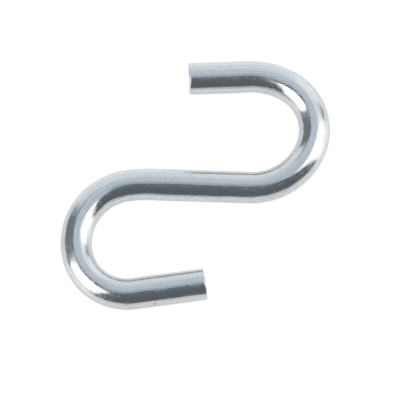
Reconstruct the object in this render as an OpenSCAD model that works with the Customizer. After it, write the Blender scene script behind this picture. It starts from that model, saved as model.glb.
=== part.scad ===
// Open S hook, bent from one length of round wire and left with sheared ends.
// It lies flat. The shank runs along X, and the wire's centreline is level, half a wire above z = 0.
// Each bowl is a chain of bends that run smoothly into one another and end in a straight leg.
// The radii are those of the inside of the wire, as a bending pin makes them.

/* [Wire] */
// Diameter of the round wire
wire_d = 4.5; // [3.5:0.1:6]

/* [Overall] */
// Length of the hook along its shank, from outside to outside
overall_length = 37.7; // [34:0.1:60]

/* [Right bowl] */
// Inside radius of the heel, the bend that leaves the shank
right_heel_r = 6.8; // [4:0.1:10]
// Turn of the heel in degrees
right_heel_turn = 70.12; // [50:0.01:95]
// Inside radius of the crown, the tight bend round the load
right_crown_r = 5.2; // [3:0.1:8]
// Turn of the crown in degrees
right_crown_turn = 85.22; // [70:0.01:110]
// Inside radius of the easy bend that leads into the leg
right_lead_r = 8.8; // [5:0.1:20]
// Turn of the easy bend in degrees
right_lead_turn = 28.45; // [10:0.01:45]
// Straight length of the leg up to its cut end
right_leg = 8.4; // [5:0.1:14]

/* [Left bowl] */
// Inside radius of the sweep, where the shank starts to curve
left_sweep_r = 20; // [10:0.1:40]
// Turn of the sweep in degrees
left_sweep_turn = 9.01; // [2:0.01:15]
// Inside radius of the heel
left_heel_r = 6.2; // [4:0.1:10]
// Turn of the heel in degrees
left_heel_turn = 97.1; // [80:0.01:115]
// Inside radius of the crown
left_crown_r = 4.9; // [3:0.1:8]
// Turn of the crown in degrees
left_crown_turn = 83.53; // [65:0.01:105]
// Straight length of the leg up to its cut end
left_leg = 10.2; // [5:0.1:14]

/* [Cut ends] */
// Width of the smooth land that the blade leaves on the outer side of the right end
right_land = 1.6; // [0.5:0.1:3.5]
// Depth of the torn step beside that land
right_step = 0.2; // [0.1:0.05:0.6]
// Depth of the torn face at the inner edge of the right end
right_edge = 0.05; // [0.05:0.05:0.6]
// Turn of the blade about the right leg in degrees
right_blade_turn = -15; // [-45:1:45]
// Width of the land on the left end
left_land = 2.7; // [0.5:0.1:3.5]
// Depth of the torn step on the left end
left_step = 0.15; // [0.05:0.05:0.6]
// Depth of the torn face at the inner edge of the left end
left_edge = 0.1; // [0.05:0.05:0.6]
// Turn of the blade about the left leg in degrees
left_blade_turn = 40; // [-45:1:45]
// Width over which a torn step falls away
tear_run = 0.6; // [0.2:0.1:1]
// Lean of a cut in degrees, which leaves the wire's underside the longer
blade_lean = 2; // [0:0.5:10]
// Radius of the edge that the blade rolls over on the inner side
rollover_r = 0.3; // [0.1:0.05:0.6]

/* [Hidden] */
$fn = 96;
wire_r = wire_d / 2;
right_bends = [
    [right_heel_r + wire_r, right_heel_turn],
    [right_crown_r + wire_r, right_crown_turn],
    [right_lead_r + wire_r, right_lead_turn]
];
left_bends = [
    [left_sweep_r + wire_r, left_sweep_turn],
    [left_heel_r + wire_r, left_heel_turn],
    [left_crown_r + wire_r, left_crown_turn]
];

// A station is a point of the centreline and its heading, as [x, y, degrees].
function after_bend(s, r, turn) = [
    s.x + r * (sin(s.z + turn) - sin(s.z)),
    s.y - r * (cos(s.z + turn) - cos(s.z)),
    s.z + turn
];
function after_straight(s, run) = [s.x + run * cos(s.z), s.y + run * sin(s.z), s.z];

// The stations of one bend that can stand out furthest along X or Y, and its end.
function bend_stations(s, r, turn) = [
    for (heading = [90, 180, 270, s.z + turn])
        if (heading > s.z && heading <= s.z + turn) after_bend(s, r, heading - s.z)
];

// All such stations of a bowl that starts at the origin, heading along X.
function bowl_stations(bends, leg, s = [0, 0, 0], i = 0) =
    i == len(bends)
        ? [after_straight(s, leg)]
        : concat(
            bend_stations(s, bends[i][0], bends[i][1]),
            bowl_stations(bends, leg, after_bend(s, bends[i][0], bends[i][1]), i + 1)
        );

// How far the wire's outside lies from the shank's end, along X and across it.
function reach(stations) = max([for (s = stations) s.x + wire_r * abs(sin(s.z))]);
function spread(stations) = max([for (s = stations) s.y + wire_r * abs(cos(s.z))]);

right_stations = bowl_stations(right_bends, right_leg);
left_stations = bowl_stations(left_bends, left_leg);
shank_length = overall_length - reach(right_stations) - reach(left_stations);
middle = [
    (shank_length + reach(right_stations) - reach(left_stations)) / 2,
    (spread(right_stations) - spread(left_stations)) / 2
];

// Moves what follows a bend to the plane where that bend ends.
module past_bend(r, turn) {
    translate([0, r, 0]) rotate([0, 0, turn]) translate([0, -r, 0]) children();
}

module straight(run) {
    rotate([-90, 0, -90]) cylinder(r = wire_r, h = run);
}

// One bend to the left. It is turned half a wire too far and trimmed on its end plane,
// so that it meets the next run face to face.
module bend(r, turn) {
    over_turn = wire_r / r * 180 / PI;
    difference() {
        translate([0, r, 0]) rotate([0, 0, -90])
            rotate_extrude(angle = turn + over_turn) translate([r, 0]) circle(r = wire_r);
        past_bend(r, turn) translate([0, -wire_d, -wire_d]) cube(2 * wire_d);
    }
}

// What the blade takes off beyond the end of a leg, before it is turned and leant.
// The outer side, at -Y, keeps a land. Beside it the wire has torn a step deeper,
// and the torn face comes back out to a rolled edge on the inner side.
module shear(land, step, edge) {
    torn = [
        [0, -wire_d],
        [0, land - wire_r],
        [-step, land - wire_r + tear_run],
        [-edge, wire_r]
    ];
    translate([0, 0, -wire_d]) linear_extrude(2 * wire_d) {
        polygon(concat(torn, [[-edge, wire_d], [wire_d, wire_d], [wire_d, -wire_d]]));
        translate([-edge - rollover_r, wire_r - rollover_r]) difference() {
            square(2 * rollover_r);
            circle(r = rollover_r);
        }
    }
}

module leg(run, land, step, edge, turn) {
    difference() {
        straight(run + wire_r);
        translate([run, 0, 0]) rotate([turn, 0, 0]) rotate([0, -blade_lean, 0])
            shear(land, step, edge);
    }
}

// The bends of one bowl in turn, each from where the last one ends, and then its leg.
module bowl(bends, i = 0) {
    if (i < len(bends)) {
        bend(bends[i][0], bends[i][1]);
        past_bend(bends[i][0], bends[i][1]) bowl(bends, i + 1) children();
    } else {
        children();
    }
}

module s_hook() {
    color([0.80, 0.82, 0.84]) translate([-middle.x, -middle.y, wire_r]) {
        straight(shank_length);
        translate([shank_length, 0, 0])
            bowl(right_bends)
                leg(right_leg, right_land, right_step, right_edge, right_blade_turn);
        rotate([0, 0, 180])
            bowl(left_bends)
                leg(left_leg, left_land, left_step, left_edge, left_blade_turn);
    }
}

s_hook();
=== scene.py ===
"""An open S hook of bright zinc plated wire, lying on a pale table under soft studio light.

The packed model gives the hook's size and place. The wire is swept again here as a fine mesh, with
the marks of drawing, bending and shearing, and every length is in metres.
"""

import math
from collections import namedtuple

import bpy
import numpy as np
from bpy.props import FloatProperty, FloatVectorProperty, IntProperty, PointerProperty
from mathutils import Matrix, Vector, noise


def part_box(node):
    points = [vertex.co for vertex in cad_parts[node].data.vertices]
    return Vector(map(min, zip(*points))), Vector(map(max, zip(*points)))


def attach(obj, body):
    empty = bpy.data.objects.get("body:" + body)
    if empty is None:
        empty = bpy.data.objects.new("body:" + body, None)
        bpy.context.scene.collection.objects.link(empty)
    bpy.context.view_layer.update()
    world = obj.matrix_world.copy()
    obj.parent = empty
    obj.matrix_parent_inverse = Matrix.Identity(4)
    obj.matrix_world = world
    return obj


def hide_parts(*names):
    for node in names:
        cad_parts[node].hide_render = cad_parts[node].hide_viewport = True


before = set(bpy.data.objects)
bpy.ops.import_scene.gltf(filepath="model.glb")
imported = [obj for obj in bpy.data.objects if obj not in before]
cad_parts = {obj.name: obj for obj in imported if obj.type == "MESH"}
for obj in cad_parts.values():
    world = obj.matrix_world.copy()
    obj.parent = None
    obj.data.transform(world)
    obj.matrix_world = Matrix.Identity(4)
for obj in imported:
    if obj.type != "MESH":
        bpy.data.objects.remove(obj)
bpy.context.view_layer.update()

bl_info = {
    "name": "Zinc S Hook",
    "version": (1, 0, 0),
    "blender": (4, 5, 0),
    "location": "View3D > Sidebar > S Hook",
    "description": "Builds an open S hook of bright zinc plated wire and the table that it lies on",
    "category": "Object",
}

NODE = "s_hook"
MM = 0.001
BOX_LOW, BOX_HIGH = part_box(NODE)
BOX_SIZE = BOX_HIGH - BOX_LOW

# A mark on the wire: how far along it lies from the left tip, its place round the section, counted
# over the top from the side that the right bowl opens to, its half length and half width, how far
# it slants, how deep the hollow is and how high its lip stands.
Mark = namedtuple("Mark", "along around half_length half_width slant depth lip")
MARKS = (
    # The nick across the left leg
    Mark(7.55 * MM, math.radians(24), 0.15 * MM, 0.34 * MM, 0.42, 0.16 * MM, 0.03 * MM),
    # Two shallow dents of that leg
    Mark(2.80 * MM, math.radians(72), 0.28 * MM, 0.24 * MM, 0.0, 0.012 * MM, 0.007 * MM),
    Mark(5.95 * MM, math.radians(67), 0.16 * MM, 0.14 * MM, 0.0, 0.014 * MM, 0.008 * MM),
    # A low bump on the left bend
    Mark(16.06 * MM, math.radians(79), 0.13 * MM, 0.13 * MM, 0.0, -0.020 * MM, 0.0),
)
MARK_REACH = 3  # Half sizes on either side of a mark over which the rings lie close together
LIP_PLACE = 1.6  # Half sizes from a mark's middle to its lip
LIP_WIDTH = 0.5  # Width of that lip, in half sizes of the mark

# Unevenness of the wire: how many waves it has in a metre round the wire, the share of that which
# it has along the wire, where drawing has stretched it, and the seed of its noise.
Unevenness = namedtuple("Unevenness", "waves along seed")
LONG_WAVES = Unevenness(0.7 / MM, 0.45, 3.0)
RIPPLES = Unevenness(1.5 / MM, 0.6, 5.0)
TORN_GRAIN = Unevenness(3.5 / MM, 1.0, 8.0)
FULL_STRAIN = 0.25  # Strain of a bend's side at which the ripples are full
LEAST_RIPPLE = 0.3  # Share of the ripples that the straights have
FLAT_REACH = 5 * MM  # How far over the wire's diameter a bend's radius may be for the full flat
FLAT_FOCUS = 3  # Power that keeps the flat to the inner side
RELIEF_FOCUS = 8  # Power that keeps the side's relief off the end faces
GRAIN_LIMIT = 1.2  # Wire radii from the middle at which the torn face's grain would end
LAND_TEAR = 0.4  # Share of the torn face's roughness that the smooth land has

# The mesh near an end: the stretch whose rings go over from the end face to square ones, their
# number, the power that draws them together away from the face, and the rings of the rounded edge.
END_ZONE = 0.8 * MM
ZONE_RINGS = 7
ZONE_CROWDING = 1.5
EDGE_RINGS = 4

# Grain of the plate: how many waves it has in a metre round the wire, the share of that which it
# has along the wire, and the detail and roughness of its noise.
Grain = namedtuple("Grain", "waves along detail roughness")
FINE_GRAIN = Grain(3.0 / MM, 0.4, 3.0, 0.6)
DRAW_LINES = Grain(4.5 / MM, 0.05, 2.0, 0.5)
PATCHES = Grain(0.4 / MM, 0.3, 2.0, 0.5)
NOISE_MIDDLE = 0.5

# Where the finish goes over from none to all of what it names: the noise of the mottle and of the
# draw lines' streaks, and the strain of a bend's side.
MOTTLE_SPAN = (0.36, 0.70)
STREAK_SPAN = (0.52, 0.72)
STRAIN_SPAN = (0.08, 0.26)

# A card or a soft box that the wire mirrors: its four corners as azimuth and angle from straight
# above, clockwise from above, how soft its edges are, all in degrees, and its colour.
Card = namedtuple("Card", "corners softness colour")

# The angles from straight above, in degrees, over which the ceiling goes over from its middle to
# its sides and from there to the skyline, and the dark side from its top to its foot.
CEILING_SPAN = (0, 17)
SKYLINE_SPAN = (28, 64)
DARK_SPAN = (0, 53)


def length(name, description, default, low=0.0, high=1.0):
    """A length property in metres."""
    return FloatProperty(
        name=name, description=description, default=default, min=low, max=high,
        unit="LENGTH", precision=5,
    )


def angle(name, description, degrees):
    """An angle property, given in degrees."""
    return FloatProperty(
        name=name, description=description, default=math.radians(degrees), unit="ROTATION",
    )


def share(name, description, default):
    """A property from nought to one."""
    return FloatProperty(
        name=name, description=description, default=default, min=0.0, max=1.0, subtype="FACTOR",
    )


def colour(name, description, default):
    """A linear colour property."""
    return FloatVectorProperty(
        name=name, description=description, default=default, size=3, min=0.0, max=4.0,
        subtype="COLOR",
    )


def three_lengths(name, description, default):
    """The radii of a bowl's three bends, from the shank outwards."""
    return FloatVectorProperty(
        name=name, description=description, default=default, size=3, unit="LENGTH",
    )


def three_angles(name, description, degrees):
    """The turns of a bowl's three bends, from the shank outwards."""
    return FloatVectorProperty(
        name=name, description=description, default=[math.radians(turn) for turn in degrees],
        size=3, unit="ROTATION",
    )


class WireProperties(bpy.types.PropertyGroup):
    """The bent wire."""

    diameter: length("Diameter", "Diameter of the round wire", BOX_SIZE.z)
    overall: length("Overall length", "Length along the shank, over the bowls", BOX_SIZE.x)
    right_radii: three_lengths(
        "Right radii", "Inside radii of the right bowl's heel, crown and lead",
        (6.8 * MM, 5.2 * MM, 8.8 * MM),
    )
    right_turns: three_angles(
        "Right turns", "Turns of the right bowl's heel, crown and lead", (70.12, 85.22, 28.45)
    )
    right_leg: length("Right leg", "Straight length of the right leg", 8.4 * MM)
    left_radii: three_lengths(
        "Left radii", "Inside radii of the left bowl's sweep, heel and crown",
        (20 * MM, 6.2 * MM, 4.9 * MM),
    )
    left_turns: three_angles(
        "Left turns", "Turns of the left bowl's sweep, heel and crown", (9.01, 97.1, 83.53)
    )
    left_leg: length("Left leg", "Straight length of the left leg", 10.2 * MM)
    easing: length("Easing", "Length over which one bend eases into the next", 2.0 * MM)
    pin_flat: length("Pin flat", "How far the bending pin flattens the inner side", 0.07 * MM)
    wave: length("Wave", "Height of the long waves that drawing and bending leave", 0.012 * MM)
    ripple: length("Ripple", "Height of the ripples on the bends' sides", 0.010 * MM)
    ring_step: length("Ring step", "Distance between the mesh's rings", 0.19 * MM)
    mark_step: length("Mark step", "Distance between the rings at a mark", 0.05 * MM)
    sides: IntProperty(
        name="Sides", description="Faces round the wire", default=128, min=24, max=256
    )


class EndProperties(bpy.types.PropertyGroup):
    """The two sheared ends."""

    right_land: length("Right land", "Width of the right end's smooth land", 1.6 * MM)
    right_step: length("Right step", "Depth of the right end's torn step", 0.2 * MM)
    right_edge: length("Right edge", "Depth of the right end's inner edge", 0.05 * MM)
    right_turn: angle("Right blade turn", "Turn of the blade about the right leg", -15)
    left_land: length("Left land", "Width of the left end's smooth land", 2.7 * MM)
    left_step: length("Left step", "Depth of the left end's torn step", 0.15 * MM)
    left_edge: length("Left edge", "Depth of the left end's inner edge", 0.1 * MM)
    left_turn: angle("Left blade turn", "Turn of the blade about the left leg", 40)
    tear_run: length("Tear run", "Width over which a step falls away", 0.6 * MM)
    lean: angle("Lean", "Lean of a cut, which leaves the wire's underside the longer", 2.0)
    rollover: length("Rollover", "Radius of the edge that the blade rolls over", 0.3 * MM)
    edge_radius: length("Edge radius", "Radius of the plated edge", 0.06 * MM)
    tear_grain: length("Tear grain", "Height of the torn face's grain", 0.035 * MM)
    cap_rings: IntProperty(
        name="Cap rings", description="Rings across an end face", default=36, min=4, max=64
    )


class FinishProperties(bpy.types.PropertyGroup):
    """The bright zinc plate."""

    plate: colour("Plate", "Colour of the clean plate", (0.80, 0.82, 0.84))
    tarnish: colour("Tarnish", "Colour of its duller, warmer patches", (0.68, 0.67, 0.65))
    gloss: share("Gloss roughness", "Roughness of the clean plate", 0.09)
    haze: share("Haze roughness", "Roughness of the hazy patches", 0.36)
    tear: share("Tear roughness", "Roughness of the torn faces", 0.48)
    patchiness: share("Patchiness", "How unevenly the mottle is spread", 0.4)
    mottle_tone: share("Mottle tone", "How far the mottle goes over to the tarnish", 0.3)
    mottle_haze: share("Mottle haze", "How hazy the mottle is on the straights", 0.6)
    bend_haze: share("Bend haze", "How much hazier the mottle is on the bends", 0.3)
    streak_tone: share("Streak tone", "How far the streaks go over to the tarnish", 0.2)
    streak_haze: share("Streak haze", "How hazy the streaks are", 0.3)
    peel: length("Peel", "Height that bending adds to the plate's fine grain", 0.0040 * MM)
    straight_peel: share("Straight peel", "Share of the peel that unbent wire has too", 0.5)
    draw: length("Draw lines", "Height of the lines that the drawing die leaves", 0.0015 * MM)


class StageProperties(bpy.types.PropertyGroup):
    """The camera, the table and the light."""

    azimuth: angle("Azimuth", "The camera's turn about the vertical", 1.76)
    elevation: angle("Elevation", "The camera's height above the horizon", 75.0)
    distance: length("Distance", "From the camera to the hook", 1.2, 0.1, 10.0)
    field: length("Field", "Width that the picture covers at the hook", 56.7 * MM)
    aim: FloatVectorProperty(
        name="Aim", description="The point in the middle of the picture", size=3, unit="LENGTH",
        default=(0.70 * MM, -2.14 * MM, 2.25 * MM),
    )
    table_size: length("Table size", "Side of the square table", 3.0, 0.1, 20.0)
    table_gap: length("Table gap", "How far the table clears the hook's waves", 0.01 * MM)
    table: colour("Table", "Colour of the table as it lights the hook", (0.86, 0.85, 0.85))
    sheen: share("Sheen roughness", "Roughness of the table's faint gloss", 0.25)
    shadow: share("Shadow", "How much of the table's own light the camera sees", 0.11)
    shade_level: share("Shade level", "Light on the table below which it shows as shade", 0.4)
    mirrored: colour("Mirrored", "White that the table adds in mirrors", (0.288, 0.275, 0.262))
    overhead: colour("Overhead", "Colour of the ceiling straight above", (0.39, 0.44, 0.49))
    ceiling: colour("Ceiling", "Colour of the ceiling round that", (0.572, 0.633, 0.695))
    skyline: colour("Skyline", "Colour of the pale wall on the far side", (0.755, 0.815, 0.85))
    box_light: colour("Soft boxes", "Colour of the two soft boxes", (1.5, 1.5, 1.5))
    dark: colour("Dark side", "Colour of the dark side, high up", (0.146, 0.177, 0.206))
    dark_low: colour("Dark skirting", "Colour of the dark side, low down", (0.116, 0.128, 0.138))


class Value:
    """A socket that holds one number, with Python's arithmetic on it."""

    def __init__(self, graph, socket):
        self.graph = graph
        self.socket = socket

    def math(self, operation, *others):
        """A Math node with this value first."""
        return self.graph.math(operation, self, *others)

    def __add__(self, other):
        return self.math("ADD", other)

    def __radd__(self, other):
        return self.graph.math("ADD", other, self)

    def __sub__(self, other):
        return self.math("SUBTRACT", other)

    def __rsub__(self, other):
        return self.graph.math("SUBTRACT", other, self)

    def __mul__(self, other):
        return self.math("MULTIPLY", other)

    def __rmul__(self, other):
        return self.graph.math("MULTIPLY", other, self)

    def __abs__(self):
        return self.math("ABSOLUTE")


class Graph:
    """A node tree that is built by calls."""

    def __init__(self, tree):
        self.tree = tree
        tree.nodes.clear()

    def node(self, kind, settings=None, sockets=None):
        """Adds a node, and sets its settings first and then its sockets' values or links."""
        added = self.tree.nodes.new(kind)
        for name, value in (settings or {}).items():
            setattr(added, name, value)
        for name, value in (sockets or {}).items():
            if isinstance(value, Value):
                value = value.socket
            if isinstance(value, bpy.types.NodeSocket):
                self.tree.links.new(value, added.inputs[name])
            else:
                added.inputs[name].default_value = value
        return added

    def math(self, operation, *values):
        """A Math node, as a value."""
        made = self.node("ShaderNodeMath", {"operation": operation}, dict(enumerate(values)))
        return Value(self, made.outputs[0])

    def scaled(self, vector, factors):
        """A vector times three factors."""
        made = self.node(
            "ShaderNodeVectorMath", {"operation": "MULTIPLY"}, {0: vector, 1: factors}
        )
        return made.outputs[0]

    def dot(self, vector, other):
        """The dot product of a vector and three numbers."""
        made = self.node(
            "ShaderNodeVectorMath", {"operation": "DOT_PRODUCT"}, {0: vector, 1: other}
        )
        return Value(self, made.outputs["Value"])

    def mix(self, factor, first, second):
        """A colour between two others, which go into the node's sockets 6 and 7."""
        made = self.node(
            "ShaderNodeMix", {"data_type": "RGBA"}, {0: factor, 6: first, 7: second}
        )
        return made.outputs[2]

    def ramp(self, value, start, stop):
        """A value that goes smoothly from nought at start to one at stop."""
        made = self.node(
            "ShaderNodeMapRange",
            {"interpolation_type": "SMOOTHSTEP"},
            {"Value": value, "From Min": start, "From Max": stop},
        )
        return Value(self, made.outputs[0])

    def attribute(self, name):
        """A number that the mesh holds for each point."""
        made = self.node("ShaderNodeAttribute", {"attribute_name": name})
        return Value(self, made.outputs["Fac"])

    def noise(self, unbent, grain):
        """Noise from nought to one at points of the unbent wire."""
        made = self.node(
            "ShaderNodeTexNoise",
            {"noise_dimensions": "3D"},
            {
                "Vector": self.scaled(unbent, (grain.along, 1.0, 1.0)),
                "Scale": grain.waves,
                "Detail": grain.detail,
                "Roughness": grain.roughness,
            },
        )
        return Value(self, made.outputs[0])


def opaque(rgb):
    """A colour with full alpha, as a socket takes it."""
    return (*rgb, 1.0)


# The wire

def wire_runs(wire, shank):
    """The straights and bends from the left tip to the right one, as length and curvature."""
    radius = wire.diameter / 2
    left = [
        ((inside + radius) * turn, -1 / (inside + radius))
        for inside, turn in zip(wire.left_radii, wire.left_turns)
    ]
    right = [
        ((inside + radius) * turn, 1 / (inside + radius))
        for inside, turn in zip(wire.right_radii, wire.right_turns)
    ]
    return [(wire.left_leg, 0), *reversed(left), (shank, 0), *right, (wire.right_leg, 0)]


class Centreline:
    """The wire's centreline, as points, headings and curvatures at even steps along it."""

    STEP = 0.05 * MM

    def __init__(self, wire, shank):
        runs = wire_runs(wire, shank)
        self.length = sum(run for run, _ in runs)
        count = round(self.length / self.STEP)
        step = self.length / count
        self.along = np.linspace(0, self.length, count + 1)
        middles = self.along[:-1] + step / 2
        ends = np.cumsum([run for run, _ in runs])
        bend = np.array([curvature for _, curvature in runs])
        sharp = bend[np.minimum(np.searchsorted(ends, middles), len(runs) - 1)]
        # The window's first and last values are nought, so it is two steps longer.
        window = np.hanning(round(wire.easing / step) + 2)
        padded = np.pad(sharp, len(window), mode="edge")
        eased = np.convolve(padded, window / window.sum(), mode="same")[len(window):-len(window)]
        turned = np.concatenate([[0], np.cumsum(eased) * step])
        self.heading = sum(wire.left_turns) + turned
        self.curvature = np.interp(self.along, middles, eased)
        between = (self.heading[1:] + self.heading[:-1]) / 2
        self.x = np.concatenate([[0], np.cumsum(np.cos(between)) * step])
        self.y = np.concatenate([[0], np.cumsum(np.sin(between)) * step])
        radius = wire.diameter / 2
        self.reach_x = self.span(self.x, radius * np.abs(np.sin(self.heading)))
        self.reach_y = self.span(self.y, radius * np.abs(np.cos(self.heading)))

    @staticmethod
    def span(middle, half):
        """The lowest and highest coordinate of the wire's outside."""
        return (middle - half).min(), (middle + half).max()

    def at(self, along):
        """Point, heading and curvature at these distances from the left tip."""
        return tuple(
            np.interp(along, self.along, what)
            for what in (self.x, self.y, self.heading, self.curvature)
        )


def fitted_centreline(wire):
    """The centreline whose shank makes up the overall length. The first shank is a guess."""
    guess = wire.overall / 3
    low, high = Centreline(wire, guess).reach_x
    return Centreline(wire, guess + wire.overall - (high - low))


class EndFace:
    """The sheared face at one end of the wire."""

    def __init__(self, ends, side, radius):
        self.ends = ends
        self.radius = radius
        # The left end's inner side lies against the side that the angles are counted from.
        self.inner = -1 if side == "left" else 1
        self.land, self.step, self.edge, self.turn = (
            getattr(ends, f"{side}_{name}") for name in ("land", "step", "edge", "turn")
        )

    def across(self, out, around):
        """How far places lie towards the inner side and towards the top, as the blade is turned."""
        inward, height = self.inner * out * np.cos(around), out * np.sin(around)
        return (
            inward * math.cos(self.turn) + height * math.sin(self.turn),
            height * math.cos(self.turn) - inward * math.sin(self.turn),
        )

    def depth(self, out, around):
        """How far the face lies behind the leg's end."""
        ends, radius = self.ends, self.radius
        inward, upward = self.across(out, around)
        bounds = [self.land - radius, self.land - radius + ends.tear_run, radius]
        depth = np.interp(inward, bounds, [0, self.step, self.edge])
        past = np.clip(inward - (radius - ends.rollover), 0, ends.rollover)
        rolled = ends.rollover - np.sqrt(ends.rollover ** 2 - past ** 2)
        return depth + rolled + upward * math.tan(ends.lean)

    def torn(self, out, around):
        """How far a place has left the smooth land for the torn face."""
        inward, _ = self.across(out, around)
        return np.clip((inward - self.land + self.radius) / self.ends.tear_run, 0, 1)


def stations(wire, line, margin):
    """Where the rings lie between the end zones, closer together at a mark."""
    count = math.ceil((line.length - 2 * margin) / wire.ring_step)
    places = [np.linspace(margin, line.length - margin, count + 1)]
    for mark in MARKS:
        reach = MARK_REACH * (mark.half_length + mark.half_width * mark.slant)
        places.append(np.arange(mark.along - reach, mark.along + reach, wire.mark_step))
    places = np.unique(np.concatenate(places))
    keep = np.concatenate([[True], np.diff(places) > wire.mark_step / 2])
    return places[keep]


def wander(unbent, kind):
    """Smooth noise from minus one to one at points of the unbent wire."""
    shift = Vector((kind.seed, kind.seed, kind.seed))
    stretched = unbent * [kind.along, 1.0, 1.0]
    return np.array([noise.noise(Vector(point) * kind.waves + shift) for point in stretched])


def relief(wire, unbent, around, strain):
    """How far the surface stands out from the true round, at points of the unbent wire."""
    out = wire.wave * wander(unbent, LONG_WAVES)
    worked = np.clip(np.abs(strain) / FULL_STRAIN, LEAST_RIPPLE, 1.0)
    out = out + wire.ripple * worked * wander(unbent, RIPPLES)
    radius = wire.diameter / 2
    for mark in MARKS:
        along = unbent[:, 0] - mark.along
        beside = radius * (np.mod(around - mark.around + math.pi, math.tau) - math.pi)
        slanted = along - mark.slant * beside
        far = np.hypot(slanted / mark.half_length, beside / mark.half_width)
        lip = mark.lip * np.exp(-((far - LIP_PLACE) / LIP_WIDTH) ** 2)
        out = out - mark.depth * np.exp(-far ** 2) + lip
    return out


def rings(wire, ends, line):
    """Each ring's places along the wire, its distance from the middle and how far it is torn."""
    radius = wire.diameter / 2
    angles = np.arange(wire.sides) / wire.sides * math.tau
    behind = np.linspace(1, 0, ZONE_RINGS + 2)[1:-1] ** ZONE_CROWDING

    def end_rings(side):
        """The rings of an end face and of the stretch behind it, from the middle outwards."""
        face = EndFace(ends, side, radius)
        tip, back = (0, 1) if side == "left" else (line.length, -1)
        edge = ends.edge_radius
        flat = radius - edge
        found = []
        for part in np.linspace(0, 1, ends.cap_rings, endpoint=False)[1:]:
            out = flat * part
            torn = LAND_TEAR + (1 - LAND_TEAR) * face.torn(out, angles)
            found.append((tip + back * face.depth(out, angles), out, torn))
        rim = face.depth(flat, angles)
        for turn in np.linspace(0, math.pi / 2, EDGE_RINGS):
            along = rim + edge * (1 - math.cos(turn))
            found.append((tip + back * along, flat + edge * math.sin(turn), 1 - math.sin(turn)))
        for part in behind:
            along = END_ZONE + (rim + edge - END_ZONE) * part
            found.append((tip + back * along, radius, 0.0))
        return found

    middle = [(along, radius, 0.0) for along in stations(wire, line, END_ZONE)]
    return angles, end_rings("left") + middle + end_rings("right")[::-1]


def skin(count, sides):
    """The faces between so many rings, and the fans from the two tips that close the end faces."""
    faces = []
    for row in range(count - 1):
        this = row * sides
        following = this + sides
        for side in range(sides):
            after = (side + 1) % sides
            faces.append((this + side, this + after, following + after, following + side))
    last = (count - 1) * sides
    left_tip, right_tip = last + sides, last + sides + 1
    for side in range(sides):
        after = (side + 1) % sides
        faces.append((left_tip, after, side))
        faces.append((right_tip, last + side, last + after))
    return faces


def swept(wire, ends):
    """The points and faces of the whole wire, and what its finish needs to know of each point."""
    line = fitted_centreline(wire)
    radius = wire.diameter / 2
    angles, rows = rings(wire, ends, line)
    tips = [
        EndFace(ends, "left", radius).depth(0.0, 0.0),
        line.length - EndFace(ends, "right", radius).depth(0.0, 0.0),
    ]

    def column(part, at_tips):
        """One value of every point: ring by ring, and then the two tips."""
        at_rings = [np.broadcast_to(row[part], angles.shape) for row in rows]
        return np.concatenate(at_rings + [at_tips])

    along, out, torn = column(0, tips), column(1, [0, 0]), column(2, [1, 1])
    around = np.concatenate([np.tile(angles, len(rows)), [0, 0]])
    x, y, heading, curvature = line.at(along)
    strain = -curvature * np.cos(around) * out

    unbent = np.stack([along, out * np.cos(around), out * np.sin(around)], axis=1)
    on_side = np.clip(out / radius, 0, 1) ** RELIEF_FOCUS
    out = out + on_side * (1 - torn) * relief(wire, unbent, around, strain)

    # Both bowls turn towards their own leg, so the inner side changes over in the middle.
    inner = np.where(along < line.length / 2, -1.0, 1.0)
    tight = np.clip(np.abs(curvature) * (wire.diameter + FLAT_REACH), 0, 1)
    facing_pin = np.clip(inner * np.cos(around), 0, 1) ** FLAT_FOCUS
    pressed = wire.pin_flat * tight * facing_pin * on_side
    across = out * np.cos(around) - inner * pressed
    grain = torn * np.clip(GRAIN_LIMIT - out / radius, 0, 1) * ends.tear_grain
    grain = grain * wander(unbent, TORN_GRAIN)
    points = np.stack(
        [
            x - np.sin(heading) * across + np.cos(heading) * grain,
            y + np.cos(heading) * across + np.sin(heading) * grain,
            out * np.sin(around),
        ],
        axis=1,
    )
    middle = np.array([sum(line.reach_x) / 2, sum(line.reach_y) / 2, 0])
    points = points - middle + np.array((BOX_LOW + BOX_HIGH) / 2)
    return points, skin(len(rows), wire.sides), unbent, torn, strain


def hook_mesh(wire, ends):
    """A Blender mesh of the wire, smooth shaded, with the attributes that its finish reads."""
    points, faces, unbent, torn, strain = swept(wire, ends)
    mesh = bpy.data.meshes.new(NODE)
    mesh.from_pydata(points.tolist(), [], faces)
    mesh.attributes.new("unbent", "FLOAT_VECTOR", "POINT").data.foreach_set(
        "vector", unbent.astype(np.float32).ravel()
    )
    for name, values in (("torn", torn), ("strain", strain)):
        mesh.attributes.new(name, "FLOAT", "POINT").data.foreach_set(
            "value", values.astype(np.float32)
        )
    mesh.update()
    mesh.shade_smooth()
    return mesh


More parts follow.
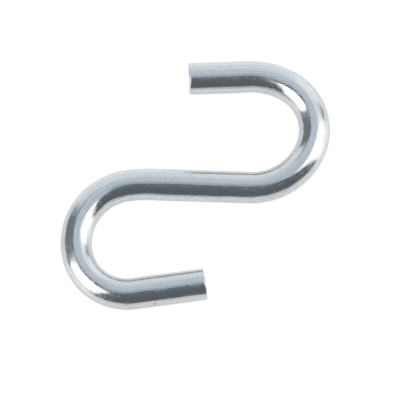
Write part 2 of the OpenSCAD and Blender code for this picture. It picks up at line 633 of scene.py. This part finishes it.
def plate_material(finish):
    """Bright zinc plate on drawn wire."""
    material = bpy.data.materials.new("bright_zinc_plate")
    material.use_nodes = True
    graph = Graph(material.node_tree)
    unbent = graph.node("ShaderNodeAttribute", {"attribute_name": "unbent"}).outputs["Vector"]
    torn = graph.attribute("torn")
    worked = graph.ramp(abs(graph.attribute("strain")), *STRAIN_SPAN)

    grain = graph.noise(unbent, FINE_GRAIN)
    lines = graph.noise(unbent, DRAW_LINES)
    uneven = (graph.noise(unbent, PATCHES) - NOISE_MIDDLE) * finish.patchiness
    mottle = graph.ramp(grain + uneven, *MOTTLE_SPAN)
    streaks = graph.ramp(lines, *STREAK_SPAN)

    tarnished = mottle * finish.mottle_tone + streaks * finish.streak_tone
    tone = graph.mix(tarnished, opaque(finish.plate), opaque(finish.tarnish))
    haze = mottle * (finish.mottle_haze + finish.bend_haze * worked) + streaks * finish.streak_haze
    shine = finish.gloss + (finish.haze - finish.gloss) * haze
    roughness = shine + (finish.tear - shine) * torn
    height = grain * (finish.straight_peel + worked) * finish.peel + lines * finish.draw
    bump = graph.node(
        "ShaderNodeBump", None, {"Strength": 1.0, "Distance": 1.0, "Height": height}
    )
    shader = graph.node(
        "ShaderNodeBsdfPrincipled",
        None,
        {
            "Base Color": tone,
            "Metallic": 1.0,
            "Roughness": roughness,
            "Normal": bump.outputs[0],
        },
    )
    graph.node("ShaderNodeOutputMaterial", None, {"Surface": shader.outputs[0]})
    return material


# The stage

def place_camera(stage):
    """A long lens at the photograph's angle."""
    camera = bpy.data.cameras.new("camera")
    camera.sensor_width = 36.0
    camera.lens = camera.sensor_width * stage.distance / stage.field
    placed = bpy.data.objects.new("camera", camera)
    flat = math.cos(stage.elevation)
    back = Vector(
        (
            math.sin(stage.azimuth) * flat,
            -math.cos(stage.azimuth) * flat,
            math.sin(stage.elevation),
        )
    )
    placed.location = Vector(stage.aim) + back * stage.distance
    placed.rotation_euler = back.to_track_quat("Z", "Y").to_euler()
    bpy.context.scene.collection.objects.link(placed)
    bpy.context.scene.camera = placed


def lay_table(stage):
    """The pale table. The camera sees it white, with a faint shadow of the hook."""
    half = stage.table_size / 2
    corners = [
        (x, y, -stage.table_gap)
        for x, y in ((-half, -half), (half, -half), (half, half), (-half, half))
    ]
    mesh = bpy.data.meshes.new("table")
    mesh.from_pydata(corners, [], [(0, 1, 2, 3)])
    table = bpy.data.objects.new("table", mesh)
    bpy.context.scene.collection.objects.link(table)

    material = bpy.data.materials.new("pale_table")
    material.use_nodes = True
    graph = Graph(material.node_tree)
    path = graph.node("ShaderNodeLightPath").outputs
    added = graph.mix(path["Is Glossy Ray"], (0, 0, 0, 1), opaque(stage.mirrored))
    lit = graph.node(
        "ShaderNodeBsdfPrincipled",
        None,
        {
            "Base Color": opaque(stage.table),
            "Roughness": stage.sheen,
            "Emission Color": added,
            "Emission Strength": 1.0,
        },
    )
    glow = graph.node(
        "ShaderNodeEmission",
        None,
        {"Color": (1, 1, 1, 1), "Strength": 1 - stage.shadow * stage.shade_level},
    )
    shade = graph.node("ShaderNodeBsdfDiffuse", None, {"Color": opaque([stage.shadow] * 3)})
    shown = graph.node("ShaderNodeAddShader", None, {0: glow.outputs[0], 1: shade.outputs[0]})
    both = graph.node(
        "ShaderNodeMixShader",
        None,
        {0: path["Is Camera Ray"], 1: lit.outputs[0], 2: shown.outputs[0]},
    )
    graph.node("ShaderNodeOutputMaterial", None, {"Surface": both.outputs[0]})
    mesh.materials.append(material)


def studio_cards(stage, dark):
    """What stands round the table, each one over the ones before it."""
    lit = opaque(stage.box_light)
    bright_wall = Card(((7, 38), (6, 96), (71, 96), (64, 44)), 8, opaque((0.91, 0.97, 1.0)))
    left_arm = Card(((120, 44), (120, 47), (140, 44), (143, 30)), 1.5, opaque((0.28, 0.31, 0.34)))
    left_rim = Card(((155, 16), (182, 60), (233, 60), (253, 20)), 1.2, opaque((0.07, 0.08, 0.09)))
    left_side = Card(((136, 31), (141, 99), (196, 96), (180, 22)), 2, opaque((0.175, 0.20, 0.22)))
    far_post = Card(((22, 67), (25, 97), (37, 97), (36, 61)), 1.5, opaque((0.24, 0.28, 0.29)))
    far_arm = Card(((34, 51), (34, 55), (47, 58), (47, 54)), 1.2, opaque((0.32, 0.37, 0.39)))
    near_side = Card(((250, 4), (239, 100), (350, 100), (330, 17)), 3, dark)
    near_wing = Card(((232, 50), (224, 100), (250, 100), (250, 50)), 3, dark)
    left_box = Card(((170, 26), (189, 80), (232, 79), (243, 26)), 1.5, lit)
    right_box = Card(((336, 27), (348, 89), (24, 77), (27, 26)), 2.5, lit)
    return (
        bright_wall, left_arm, left_rim, left_side, far_post, far_arm, near_side, near_wing,
        left_box, right_box,
    )


def direction(azimuth, zenith):
    """The unit vector at an azimuth and an angle from straight above, in degrees."""
    around, down = math.radians(azimuth), math.radians(zenith)
    return Vector(
        (math.sin(down) * math.cos(around), math.sin(down) * math.sin(around), math.cos(down))
    )


def light_room(stage):
    """A plain room with its soft boxes and dark cards, which the camera sees as white."""
    world = bpy.data.worlds.new("studio")
    bpy.context.scene.world = world
    world.use_nodes = True
    graph = Graph(world.node_tree)
    toward = graph.node("ShaderNodeTexCoord").outputs["Generated"]
    height = Value(graph, graph.node("ShaderNodeSeparateXYZ", None, {0: toward}).outputs["Z"])
    zenith = height.math("ARCCOSINE") * math.degrees(1)
    room = graph.mix(
        graph.ramp(zenith, *CEILING_SPAN), opaque(stage.overhead), opaque(stage.ceiling)
    )
    room = graph.mix(graph.ramp(zenith, *SKYLINE_SPAN), room, opaque(stage.skyline))
    dark = graph.mix(graph.ramp(zenith, *DARK_SPAN), opaque(stage.dark), opaque(stage.dark_low))
    for card in studio_cards(stage, dark):
        corners = [direction(*corner) for corner in card.corners]
        soft = math.sin(math.radians(card.softness))
        within = 1.0
        for corner, after in zip(corners, corners[1:] + corners[:1]):
            inward = corner.cross(after).normalized()
            within = graph.ramp(graph.dot(toward, inward), -soft, soft) * within
        room = graph.mix(within, room, card.colour)
    seen = graph.node("ShaderNodeLightPath").outputs["Is Camera Ray"]
    shown = graph.mix(seen, room, (1, 1, 1, 1))
    background = graph.node("ShaderNodeBackground", None, {"Color": shown, "Strength": 1.0})
    graph.node("ShaderNodeOutputWorld", None, {"Surface": background.outputs[0]})


class HOOK_OT_wire(bpy.types.Operator):
    """Sweep the hook's wire and plate it"""

    bl_idname = "s_hook.wire"
    bl_label = "Bent wire"

    def execute(self, context):
        scene = context.scene
        hook = bpy.data.objects.new("hook_wire", hook_mesh(scene.hook_wire, scene.hook_ends))
        scene.collection.objects.link(hook)
        hook.data.materials.append(plate_material(scene.hook_finish))
        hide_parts(NODE)
        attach(hook, "root")
        return {"FINISHED"}


class HOOK_OT_stage(bpy.types.Operator):
    """Place the camera, the table and the room's light"""

    bl_idname = "s_hook.stage"
    bl_label = "Camera, table and light"

    def execute(self, context):
        stage = context.scene.hook_stage
        place_camera(stage)
        lay_table(stage)
        light_room(stage)
        context.scene.view_settings.view_transform = "Standard"
        return {"FINISHED"}


class HOOK_PT_panel(bpy.types.Panel):
    """The hook's operators and its sizes"""

    bl_idname = "HOOK_PT_panel"
    bl_label = "S Hook"
    bl_space_type = "VIEW_3D"
    bl_region_type = "UI"
    bl_category = "S Hook"

    def draw(self, context):
        for made in OPERATORS:
            self.layout.operator(made.bl_idname)
        for name, group in GROUPS.items():
            box = self.layout.box()
            box.label(text=group.__doc__)
            for key in group.__annotations__:
                box.prop(getattr(context.scene, name), key)


GROUPS = {
    "hook_wire": WireProperties,
    "hook_ends": EndProperties,
    "hook_finish": FinishProperties,
    "hook_stage": StageProperties,
}
OPERATORS = (HOOK_OT_wire, HOOK_OT_stage)
CLASSES = (*GROUPS.values(), *OPERATORS, HOOK_PT_panel)


def register():
    for made in CLASSES:
        bpy.utils.register_class(made)
    for name, group in GROUPS.items():
        setattr(bpy.types.Scene, name, PointerProperty(type=group))


def unregister():
    for name in GROUPS:
        delattr(bpy.types.Scene, name)
    for made in reversed(CLASSES):
        bpy.utils.unregister_class(made)


def main():
    register()
    bpy.ops.s_hook.wire()
    bpy.ops.s_hook.stage()
    bpy.context.view_layer.update()


if __name__ == "__main__":
    main()
